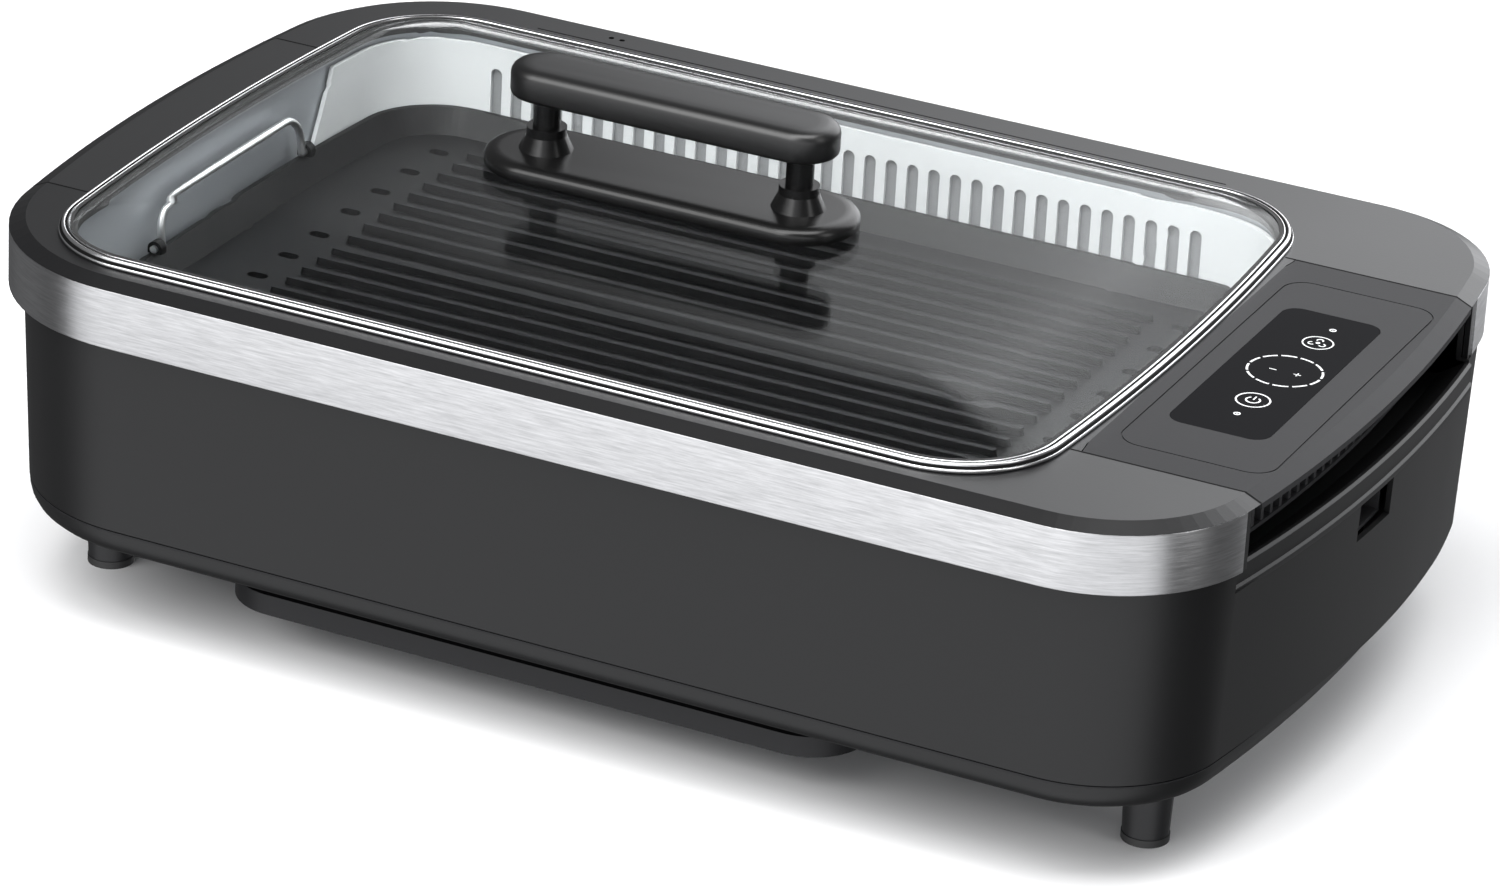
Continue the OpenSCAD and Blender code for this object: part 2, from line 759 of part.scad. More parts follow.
module air_duct() color("#4a4d50")
  difference() {
    box([duct_left, duct_y, duct_z], [leg_x, duct_back, duct_top]);
    box([duct_left + duct_wall, duct_y + duct_wall, duct_z + duct_wall],
        [leg_x - 1, duct_back - duct_wall, duct_top - duct_wall]);
    duct_mouth();
    well_window();
  }
module duct_leg() color("#4a4d50")
  difference() {
    union() {
      box([leg_x, leg_y, leg_z], [duct_right, duct_back, duct_top]);
      box([leg_x, leg_y, leg_z], [leg_right, leg_back, duct_top]);
    }
    box([leg_x + duct_wall, leg_y + duct_wall, leg_z + duct_wall],
        [duct_right - duct_wall, duct_back - duct_wall, duct_top - duct_wall]);
    box([leg_x + duct_wall, leg_y + duct_wall, leg_z + duct_wall],
        [leg_right - duct_wall, leg_back - duct_wall, duct_top - duct_wall]);
    duct_mouth();
    along_fan(leg_y - 1, 4) circle(eye_radius);
  }

// ---- Smoke fan ----

// Extrusion along +Y of a shape drawn round the fan's axis, +X across and +Y upwards
module along_fan(y, length)
  translate([fan_x, y + length, fan_z]) rotate([90, 0, 0]) linear_extrude(length) children();
module fan_housing() color("#5a5d60") {
  top = mouth_z + mouth_height - fan_z;
  low = mouth_z - fan_z;
  out = body_half[0] - slat_setback - slat_depth - 4 - fan_x;
  side = 2 - scroll_radius;
  difference() {
    along_fan(fan_y - scroll_length / 2, scroll_length) {
      circle(scroll_radius + scroll_wall);
      polygon([[side - scroll_wall, 0], [side - scroll_wall, top - 8], [side + 8, top + scroll_wall],
               [out, top + scroll_wall], [out, low - scroll_wall], [10, low - 8], [0, 0]]);
    }
    along_fan(fan_y - scroll_length / 2 + scroll_wall, scroll_length - 2 * scroll_wall) {
      circle(scroll_radius);
      polygon([[side, 0], [side, top - 9], [side + 9, top], [out + 1, top],
               [out + 1, low], [10 - scroll_wall, low - 6], [0, 0]]);
    }
    along_fan(fan_y, scroll_length) circle(eye_radius);
    along_fan(fan_y - scroll_length, scroll_length) circle(shaft_radius + 1.5);
  }
}
module fan_motor() color("silver")
  along_fan(fan_y - scroll_length / 2 - motor_length, motor_length) difference() {
    circle(motor_radius);
    circle(shaft_radius + bearing_clearance);
  }
module fan_wheel() color("#2f3133") {
  along_fan(fan_y - wheel_length / 2, 2) difference() {
    circle(wheel_radius);
    circle(shaft_radius);
  }
  along_fan(fan_y - wheel_length / 2 + 2, 8) difference() {
    circle(shaft_radius + 3);
    circle(shaft_radius);
  }
  along_fan(fan_y + wheel_length / 2 - 2, 2) difference() {
    circle(wheel_radius);
    circle(wheel_radius - blade_depth);
  }
  along_fan(fan_y - wheel_length / 2 + 1, wheel_length - 2)
    for (i = [0:blade_count - 1]) rotate(i * 360 / blade_count)
      translate([wheel_radius - blade_depth, -0.5]) square([blade_depth - 0.3, 1]);
}
module fan_shaft() color("white")
  along_fan(fan_y - scroll_length / 2 - motor_length + 4, motor_length + 14) circle(shaft_radius);

// ---- Drip tray and heater ----

module element_socket() color("#d8d2c4")
  difference() {
    box([plug_x + 5, lid_y - plug_width / 2, element_z - 15],
        [plug_x + 12, lid_y + plug_width / 2, element_z - 1]);
    box([plug_x + 6, lid_y - plug_width / 2 + 1.5, element_z - 13.5],
        [plug_x + 11, lid_y + plug_width / 2 - 1.5, BIG]);
  }
module drip_tray() color("silver") {
  difference() {
    lid_slab(tray_inset, floor_z, tray_height);
    lid_slab(tray_inset + well_sheet, floor_z + well_sheet, tray_height);
  }
  lid_ring(tray_inset, tray_inset + 6, floor_z + tray_height - 1, 1);
}
// Heating tube: six straight runs joined by half turns, both ends led to the plug
module tube_run(x0, x1, y, r = tube_radius) translate([x0, y, 0]) rotate([0, 90, 0]) cylinder(r = r, h = x1 - x0);
module tube_turn(x, y, r, from, sweep)
  translate([x, y, 0]) rotate([0, 0, from]) rotate_extrude(angle = sweep) translate([r, 0]) circle(tube_radius);
module tube_path() translate([lid_x, lid_y, element_z]) {
  for (s = [-1, 1]) {
    for (k = [0.5, 1.5]) tube_run(-tube_left, tube_right - tube_return, s * k * tube_pitch);
    tube_run(-tube_left, tube_right - tube_bend, s * 2.5 * tube_pitch);
    tube_turn(-tube_left, s * 2 * tube_pitch, tube_pitch / 2, 90, 180);
    tube_turn(tube_right - tube_return, s * tube_pitch, tube_pitch / 2, -90, 180);
    tube_turn(tube_right - tube_bend, s * (2.5 * tube_pitch - tube_bend), tube_bend, s > 0 ? 0 : -90, 90);
    translate([tube_right, s > 0 ? tube_bend : tube_bend - 2.5 * tube_pitch, 0])
      rotate([-90, 0, 0]) cylinder(r = tube_radius, h = 2.5 * tube_pitch - 2 * tube_bend);
    tube_turn(tube_right + lead_bend, s * tube_bend, lead_bend, s > 0 ? 180 : 90, 90);
    tube_run(tube_right + lead_bend, plug_x - lid_x, s * lead_y);
  }
  tube_turn(-tube_left, 0, tube_pitch / 2, 90, 180);
}
module heating_element() color("#3a3a3c") tube_path();
module element_brackets() color("silver")
  for (x = bracket_places)
    difference() {
      box([lid_x + x - bracket_half, lid_y - lid_half[1] + tray_inset + 3, floor_z + tray_height],
          [lid_x + x + bracket_half, lid_y + lid_half[1] - tray_inset - 3, element_z - 1]);
      for (s = [-1, 1], k = [0.5, 1.5, 2.5]) translate([lid_x + x, lid_y, element_z])
        tube_run(-2 * bracket_half, 2 * bracket_half, s * k * tube_pitch, r = tube_radius + 0.1);
    }
module element_plug() color("#26262a") {
  box([plug_x, lid_y - plug_width / 2, element_z - 3.6], [plug_x + 4.4, lid_y + plug_width / 2, element_z + 5]);
  box([plug_x, lid_y - plug_width / 2, element_z - 0.6], [plug_x + 12, lid_y + plug_width / 2, element_z + 5]);
  for (s = [-1, 1]) disc(plug_x + 8.5, lid_y + s * lead_y, element_z - 12, pin_radius, 11.6);
}
module thermostat_probe() color("#b9bcc0") {
  translate([0, lid_y, element_z]) tube_run(plug_x - 13, plug_x, 0, r = 2);
  disc(plug_x - 14, lid_y, element_z - 3, 2.4, shoulder_z + 0.7 - element_z + 3);
}

// ---- Grill plate and its wire handles ----

module grill_plate() color("#2c2c2e") {
  difference() {
    lid_slab(plate_inset, plate_base_z, plate_edge_height);
    hull() {
      lid_slab(plate_inset + plate_lip, plate_rim_z, 1);
      lid_slab(plate_inset + plate_dish, grill_z, EPS);
    }
    lid_slab(well_inset + shoulder_width + 0.8, plate_base_z - 1, 2);
    for (s = [-1, 1], i = [-rib_half:rib_half]) if (i % 2 != 0)
      translate([lid_x + s * drain_x, lid_y + i * rib_pitch, plate_base_z])
        pill(drain_length - drain_width, drain_width / 2, 20);
  }
  for (i = [-rib_half:rib_half])
    translate([lid_x, lid_y + i * rib_pitch, grill_z])
      pill_taper(rib_length, rib_width / 2, rib_width / 2 - 0.7, rib_height);
}
module plate_ears() color("#3a3a3c")
  for (sx = [-1, 1], sy = [-1, 1])
    difference() {
      ear_y = bail_width / 2 + wire_radius + 0.3;
      translate([lid_x + sx * bail_x, lid_y + sy * (ear_y + ear_width / 2), plate_rim_z])
        rotate([90, 0, 0]) translate([0, 0, -ear_width / 2]) linear_extrude(ear_width) {
          intersection() {
            translate([0, bail_z - plate_rim_z]) circle(ear_radius);
            translate([-ear_radius, 0]) square(2 * ear_radius);
          }
          translate([-ear_radius, 0]) square([2 * ear_radius, bail_z - plate_rim_z]);
        }
      translate([lid_x + sx * bail_x, lid_y, bail_z]) rotate([90, 0, 0])
        cylinder(r = wire_radius + bearing_clearance, h = BIG, center = true);
    }
// Wire bow standing on the hinge line, its ends turned outwards into the ears
module bail(side) translate([lid_x + side * bail_x, lid_y, bail_z]) rotate([0, side * bail_lean, 0]) {
  half = bail_width / 2;
  for (s = [-1, 1]) {
    translate([0, s * half, 0]) cylinder(r = wire_radius, h = bail_height - bail_bend);
    translate([0, s * half, 0]) sphere(wire_radius);
    translate([0, s * half, 0]) rotate([s * -90, 0, 0]) cylinder(r = wire_radius, h = pin_length);
    translate([0, s * (half - bail_bend), bail_height - bail_bend])
      rotate([90, 0, 90]) rotate([0, 0, s > 0 ? 0 : 90]) rotate_extrude(angle = 90) translate([bail_bend, 0]) circle(wire_radius);
  }
  translate([0, bail_bend - half, bail_height]) rotate([-90, 0, 0])
    cylinder(r = wire_radius, h = bail_width - 2 * bail_bend);
}
module bail_left() color("silver") bail(-1);
module bail_right() color("silver") bail(1);

// ---- Air intake ----

// Region at the back with slanting ends along the side walls
module intake_region() rotate([90, 0, 90]) translate([0, 0, -BIG / 2]) linear_extrude(BIG)
  polygon([[intake_foot, shoulder_z - 1], [BIG, shoulder_z - 1], [BIG, top_z], [intake_top, top_z]]);
module intake_wall(outer, inner, z, h) intersection() {
  lid_ring(outer, inner, z, h);
  intake_region();
}
module intake_grille() color("lightgray")
  difference() {
    intake_wall(intake_inset + filter_thickness, intake_inset + intake_thickness, shoulder_z, intake_height);
    for (i = [0:slot_count - 1])
      translate([lid_x + (i - (slot_count - 1) / 2) * slot_pitch, lid_y + intake_reach, slot_z + slot_height / 2])
        rotate([90, 90, 0]) translate([0, 0, -intake_reach])
          pill(slot_height - slot_width, slot_width / 2, intake_reach);
  }
module intake_filter() color("#7d8184")
  intersection() {
    lid_ring(intake_inset, intake_inset + filter_thickness, shoulder_z + 4, intake_height - 6);
    box([lid_x - filter_half, lid_y, 0], [lid_x + filter_half, BIG, BIG]);
  }

// ---- Lid ----

module lid_rim() color("#d4d6d8")
  difference() {
    lid_ring(0, rim_width, top_z, rim_top_z - top_z);
    lid_slab(glass_inset, glass_z, glass_thickness);
    lid_ring(-1, 0.5, top_z + 1.2, 0.9);
    lid_ring(-1, 0.9, rim_top_z - 0.4, 1);
  }
module lid_gasket() color("#1a1a1b") {
  lid_ring(gasket_inset, gasket_inset + gasket_width, glass_z - gasket_drop - 0.4, gasket_drop + 0.4);
  lid_ring(rim_width, rim_width + 1.2, glass_z + glass_thickness, 0.3);
}
// Pressed dome: stacked outlines joined by a smooth hull, lowered by an amount
module dome(drop)
  hull() for (step = dome_steps)
    lid_slab(glass_inset + step[0] + drop, glass_z + glass_thickness + step[1] * glass_rise - drop - EPS, EPS);
module lid_glass() color([0.8, 0.85, 0.85, 0.35])
  difference() {
    union() {
      lid_slab(glass_inset, glass_z, glass_thickness);
      dome(0);
    }
    dome(glass_thickness);
    at_posts() translate([0, 0, glass_z]) cylinder(r = screw_radius + 1, h = 40);
  }

// ---- Lid handle ----

module at_handle() translate([lid_x + handle_shift, lid_y, 0]) children();
module handle_plate() color("#151516")
  difference() {
    at_handle() {
      translate([0, 0, glass_top_z]) pill(post_spacing, plate_radius, plate_thickness - 4);
      translate([0, 0, plate_top_z - 4]) pill_taper(post_spacing, plate_radius, plate_radius - 1.2, 2);
      translate([0, 0, plate_top_z - 2]) pill_taper(post_spacing, plate_radius - 1.2, plate_radius - 4, 2);
    }
    at_posts() translate([0, 0, glass_z]) cylinder(r = screw_radius, h = 60);
  }
module handle_posts() color("#1c1c1d")
  at_posts() difference() {
    translate([0, 0, plate_top_z]) cylinder(r = post_radius, h = grip_clearance);
    cylinder(r = screw_radius, h = grip_z + 1);
  }
module handle_collars() color("#0f0f10")
  at_posts() difference() {
    union() {
      translate([0, 0, plate_top_z]) cylinder(r1 = collar_radius, r2 = post_radius + 2.5, h = collar_flare);
      translate([0, 0, plate_top_z + collar_flare]) cylinder(r = post_radius + 2.5, h = 3.5);
    }
    translate([0, 0, plate_top_z - 1]) cylinder(r = post_radius, h = 40);
  }
module handle_grip() color("#1f1f20")
  difference() {
    at_handle() {
      translate([0, 0, grip_z]) pill(post_spacing, grip_radius, grip_thickness - grip_bevel);
      translate([0, 0, grip_z + grip_thickness - grip_bevel])
        pill_taper(post_spacing, grip_radius, grip_radius - grip_bevel, grip_bevel);
    }
    at_posts() translate([0, 0, grip_z - 1]) cylinder(r = screw_radius, h = screw_reach + 1);
  }
module handle_screws() color("silver")
  at_posts() {
    translate([0, 0, screw_seat_z - 2.5]) cylinder(r = screw_radius * 1.8, h = 2.5);
    translate([0, 0, screw_seat_z - EPS]) cylinder(r = screw_radius, h = grip_z + screw_reach - screw_seat_z);
  }
module handle_washers() color("black")
  at_posts() translate([0, 0, screw_seat_z]) difference() {
    cylinder(r = washer_radius, h = glass_top_z - glass_thickness - screw_seat_z);
    translate([0, 0, -1]) cylinder(r = screw_radius, h = 10);
  }

lower_housing();
bottom_cover();
base_sump();
feet();
foot_pads();
base_screws();
steel_band();
top_frame();
side_grip();
control_panel();
touch_display();
control_board();
touch_springs();
exhaust_grille();
well_wall();
well_shoulder();
well_pan();
air_duct();
duct_leg();
fan_housing();
fan_motor();
fan_wheel();
fan_shaft();
power_board();
power_relay();
power_capacitor();
inlet_socket();
inlet_pins();
element_socket();
drip_tray();
element_brackets();
heating_element();
element_plug();
thermostat_probe();
grill_plate();
plate_ears();
bail_left();
bail_right();
intake_grille();
intake_filter();
lid_rim();
lid_gasket();
lid_glass();
handle_plate();
handle_posts();
handle_collars();
handle_grip();
handle_screws();
handle_washers();
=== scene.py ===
"""Looks of an electric indoor grill with a lift-off glass lid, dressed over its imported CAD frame."""
import json
import math

import bpy
import numpy as np
from mathutils import Matrix


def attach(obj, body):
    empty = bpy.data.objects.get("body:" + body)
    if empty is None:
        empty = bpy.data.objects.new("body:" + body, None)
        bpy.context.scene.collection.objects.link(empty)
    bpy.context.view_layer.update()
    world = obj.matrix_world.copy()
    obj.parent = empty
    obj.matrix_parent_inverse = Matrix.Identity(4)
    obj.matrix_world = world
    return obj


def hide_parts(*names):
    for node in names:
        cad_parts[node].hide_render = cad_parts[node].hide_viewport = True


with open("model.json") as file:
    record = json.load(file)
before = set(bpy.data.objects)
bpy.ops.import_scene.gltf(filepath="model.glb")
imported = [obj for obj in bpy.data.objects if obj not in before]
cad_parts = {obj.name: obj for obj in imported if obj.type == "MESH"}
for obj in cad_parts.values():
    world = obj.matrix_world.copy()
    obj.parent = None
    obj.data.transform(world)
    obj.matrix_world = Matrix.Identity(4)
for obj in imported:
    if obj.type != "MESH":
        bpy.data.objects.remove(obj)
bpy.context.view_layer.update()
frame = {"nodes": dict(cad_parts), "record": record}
nodes = frame["nodes"]
MM = 0.001
QUARTER = math.pi / 2


def matrix_of(right, up, back, place):
    """Matrix whose columns are three axes and a place."""
    return Matrix([[right[i], up[i], back[i], place[i]] for i in range(3)] + [[0, 0, 0, 1]])


def add(tree, kind, **values):
    """A node of a kind, its inputs given by name and its settings by attribute."""
    node = tree.nodes.new(kind)
    for key, value in values.items():
        if key in node.inputs:
            node.inputs[key].default_value = value
        else:
            setattr(node, key, value)
    return node


# ---- camera ----

def make_camera():
    """Long lens on the panel's side of the front, looking down at the lid."""
    data = bpy.data.cameras.new("view_camera")
    data.lens, data.sensor_width = 160.83, 36.0
    data.clip_start, data.clip_end = 0.05, 60.0
    cam = bpy.data.objects.new("view_camera", data)
    right = (0.8972, 0.43874, 0.05047)
    up = (-0.22472, 0.35516, 0.90739)
    back = (0.38018, -0.82545, 0.41725)
    cam.matrix_world = matrix_of(right, up, back, (1.01264, -2.18765, 1.17114))
    bpy.context.scene.collection.objects.link(cam)
    bpy.context.scene.camera = cam


make_camera()
bpy.context.scene.view_settings.view_transform = "Standard"


# ---- light and stage ----

def area_light(name, place, aim, size, power):
    """Soft rectangular light at a place, turned so that it shines at a point."""
    data = bpy.data.lights.new(name, "AREA")
    data.shape, data.size, data.size_y = "RECTANGLE", size[0], size[1]
    data.energy = power
    lamp = bpy.data.objects.new(name, data)
    back = np.array(place, float) - np.array(aim, float)
    back /= np.linalg.norm(back)
    right = np.cross((0, 0, 1.0), back)
    right /= np.linalg.norm(right)
    lamp.matrix_world = matrix_of(right, np.cross(back, right), back, place)
    bpy.context.scene.collection.objects.link(lamp)


def make_stage(reach=12.0):
    """A wide pale floor, kept out of glossy reflections."""
    corners = [(-reach, -reach, 0), (reach, -reach, 0), (reach, reach, 0), (-reach, reach, 0)]
    mesh = bpy.data.meshes.new("studio_floor")
    mesh.from_pydata(corners, [], [(0, 1, 2, 3)])
    floor = bpy.data.objects.new("studio_floor", mesh)
    bpy.context.scene.collection.objects.link(floor)
    floor.visible_glossy = False
    return floor


# Even strength of the surroundings, then each glow: its direction, the dot product with it at which the
# glow starts, the one at which it is full, and the strength that it adds
ROOM_STRENGTH = 0.13
GLOWS = (
    ((0.095, -0.908, -0.407), 0.5, 0.62, 1.35),
    ((0.15, 0.90, 0.40), 0.8, 0.93, 2.9),
    ((0.35, 0.84, -0.41), 0.9, 1.0, 0.25),
    ((-0.91, 0.08, -0.4), 0.9, 1.0, 0.08),
)


def make_room():
    """Dim even surroundings with soft glows, each rising smoothly as a direction nears the glow's own."""
    world = bpy.data.worlds.new("soft_room")
    bpy.context.scene.world = world
    world.use_nodes = True
    tree = world.node_tree
    link = tree.links.new
    coord = add(tree, "ShaderNodeTexCoord")
    total = None
    for direction, low, high, strength in GLOWS:
        near = add(tree, "ShaderNodeVectorMath", operation="DOT_PRODUCT")
        near.inputs[1].default_value = direction
        reach = {"From Min": low, "From Max": high, "To Min": 0.0, "To Max": strength}
        ramp = add(tree, "ShaderNodeMapRange", interpolation_type="SMOOTHSTEP", **reach)
        added = add(tree, "ShaderNodeMath", operation="ADD")
        link(coord.outputs["Generated"], near.inputs[0])
        link(near.outputs["Value"], ramp.inputs["Value"])
        link(ramp.outputs["Result"], added.inputs[0])
        if total:
            link(total.outputs[0], added.inputs[1])
        else:
            added.inputs[1].default_value = ROOM_STRENGTH
        total = added
    sky = tree.nodes["Background"]
    sky.inputs["Color"].default_value = (0.95, 0.96, 0.98, 1)
    link(total.outputs[0], sky.inputs["Strength"])


floor = make_stage()
make_room()
area_light("key_softbox", place=(-1.2, -2.8, 3.0), aim=(0, 0, 0.1), size=(3.2, 2.6), power=150)
area_light("top_softbox", place=(0.4, -0.7, 3.2), aim=(0, 0, 0.15), size=(3.0, 1.8), power=110)
area_light("right_strip", place=(2.8, -0.4, 1.4), aim=(0.2, 0, 0.12), size=(0.8, 2.0), power=12)


# ---- material nodes ----

GRAIN_HEIGHT = 0.0002
BRUSH_HEIGHT = 0.0001


def nodes_of(material):
    """Node tree and Principled shader of a fresh material."""
    material.use_nodes = True
    return material.node_tree, material.node_tree.nodes["Principled BSDF"]


def surface_group():
    """Group: moulded or cast surface. Tone and roughness drift with a broad noise n, as 1 + drift (n - 0.5)
    and roughness + drift (n - 0.5), and a fine noise is the height of the grain."""
    group = bpy.data.node_groups.new("moulded_surface", "ShaderNodeTree")
    number, colour, vector = "NodeSocketFloat", "NodeSocketColor", "NodeSocketVector"
    taken = (("Colour", colour), ("Grain Scale", number), ("Grain Depth", number), ("Roughness", number),
             ("Tone Drift", number), ("Roughness Drift", number))
    given = (("Colour", colour), ("Roughness", number), ("Normal", vector))
    for way, sockets in (("INPUT", taken), ("OUTPUT", given)):
        for name, kind in sockets:
            group.interface.new_socket(name, in_out=way, socket_type=kind)
    inp, out = add(group, "NodeGroupInput"), add(group, "NodeGroupOutput")
    coord = add(group, "ShaderNodeTexCoord")
    broad = add(group, "ShaderNodeTexNoise", Scale=7.0, Detail=2.0)
    fine = add(group, "ShaderNodeTexNoise", Detail=3.0)
    link = group.links.new
    link(coord.outputs["Object"], broad.inputs["Vector"])
    link(coord.outputs["Object"], fine.inputs["Vector"])
    link(inp.outputs["Grain Scale"], fine.inputs["Scale"])
    centred = add(group, "ShaderNodeMath", operation="SUBTRACT")
    centred.inputs[1].default_value = 0.5
    link(broad.outputs["Fac"], centred.inputs[0])
    tone = add(group, "ShaderNodeMath", operation="MULTIPLY_ADD")
    tone.inputs[2].default_value = 1.0
    link(centred.outputs[0], tone.inputs[0])
    link(inp.outputs["Tone Drift"], tone.inputs[1])
    scaled = add(group, "ShaderNodeVectorMath", operation="SCALE")
    link(inp.outputs["Colour"], scaled.inputs[0])
    link(tone.outputs[0], scaled.inputs["Scale"])
    link(scaled.outputs[0], out.inputs["Colour"])
    rough = add(group, "ShaderNodeMath", operation="MULTIPLY_ADD")
    link(centred.outputs[0], rough.inputs[0])
    link(inp.outputs["Roughness Drift"], rough.inputs[1])
    link(inp.outputs["Roughness"], rough.inputs[2])
    link(rough.outputs[0], out.inputs["Roughness"])
    bump = add(group, "ShaderNodeBump", Distance=GRAIN_HEIGHT)
    link(inp.outputs["Grain Depth"], bump.inputs["Strength"])
    link(fine.outputs["Fac"], bump.inputs["Height"])
    link(bump.outputs["Normal"], out.inputs["Normal"])
    return group


MOULDED = surface_group()


def moulded(name, colour, roughness, grain=0.12, scale=900.0, tone=0.06, drift=0.06, metallic=0.0, gloss=0.5):
    """Plastic, rubber, cast or sheet finish from the moulded surface group."""
    material = bpy.data.materials.new(name)
    tree, shader = nodes_of(material)
    part = add(tree, "ShaderNodeGroup", node_tree=MOULDED)
    part.inputs["Colour"].default_value = (*colour, 1)
    part.inputs["Roughness"].default_value = roughness
    part.inputs["Grain Depth"].default_value = grain
    part.inputs["Grain Scale"].default_value = scale
    part.inputs["Tone Drift"].default_value = tone
    part.inputs["Roughness Drift"].default_value = drift
    for out_name, in_name in (("Colour", "Base Color"), ("Roughness", "Roughness"), ("Normal", "Normal")):
        tree.links.new(part.outputs[out_name], shader.inputs[in_name])
    shader.inputs["Metallic"].default_value = metallic
    shader.inputs["Specular IOR Level"].default_value = gloss
    return material


def brushed(name, colour, roughness, along, depth):
    """Brushed metal: noise stretched along the grain gives lines in height, tone and roughness, and
    highlights spread across the grain, which runs round the vertical axis."""
    material = bpy.data.materials.new(name)
    tree, shader = nodes_of(material)
    coord = add(tree, "ShaderNodeTexCoord")
    place = add(tree, "ShaderNodeMapping", Scale=along)
    lines = add(tree, "ShaderNodeTexNoise", Scale=1.0, Detail=4.0, Roughness=0.7)
    ramp = add(tree, "ShaderNodeMapRange", **{"To Min": roughness - 0.08, "To Max": roughness + 0.1})
    bump = add(tree, "ShaderNodeBump", Distance=BRUSH_HEIGHT, Strength=depth)
    shade = add(tree, "ShaderNodeMix", data_type="RGBA")
    shade.inputs["A"].default_value = (*[c * 0.35 for c in colour], 1)
    shade.inputs["B"].default_value = (*colour, 1)
    grain = add(tree, "ShaderNodeTangent", direction_type="RADIAL", axis="Z")
    link = tree.links.new
    link(coord.outputs["Object"], place.inputs["Vector"])
    link(place.outputs["Vector"], lines.inputs["Vector"])
    link(lines.outputs["Fac"], ramp.inputs["Value"])
    link(lines.outputs["Fac"], bump.inputs["Height"])
    link(lines.outputs["Fac"], shade.inputs["Factor"])
    link(shade.outputs["Result"], shader.inputs["Base Color"])
    link(ramp.outputs["Result"], shader.inputs["Roughness"])
    link(bump.outputs["Normal"], shader.inputs["Normal"])
    link(grain.outputs["Tangent"], shader.inputs["Tangent"])
    shader.inputs["Metallic"].default_value = 1.0
    shader.inputs["Anisotropic"].default_value = 0.85
    shader.inputs["Anisotropic Rotation"].default_value = 0.25
    return material


def clear_glass(name, tint):
    """Clear tempered glass with a faint tint and a light coat. It bends light little, as a thin dome does,
    and lets shadow rays through."""
    material = bpy.data.materials.new(name)
    tree, shader = nodes_of(material)
    shader.inputs["Base Color"].default_value = (*tint, 1)
    shader.inputs["Transmission Weight"].default_value = 1.0
    shader.inputs["Roughness"].default_value = 0.0
    shader.inputs["IOR"].default_value = 1.06
    shader.inputs["Coat Weight"].default_value = 0.2
    shader.inputs["Coat Roughness"].default_value = 0.08
    path = add(tree, "ShaderNodeLightPath")
    clear = add(tree, "ShaderNodeBsdfTransparent", Color=(0.93, 0.94, 0.94, 1))
    mix = add(tree, "ShaderNodeMixShader")
    tree.links.new(path.outputs["Is Shadow Ray"], mix.inputs[0])
    tree.links.new(shader.outputs[0], mix.inputs[1])
    tree.links.new(clear.outputs[0], mix.inputs[2])
    tree.links.new(mix.outputs[0], tree.nodes["Material Output"].inputs["Surface"])
    return material


# ---- finishes ----

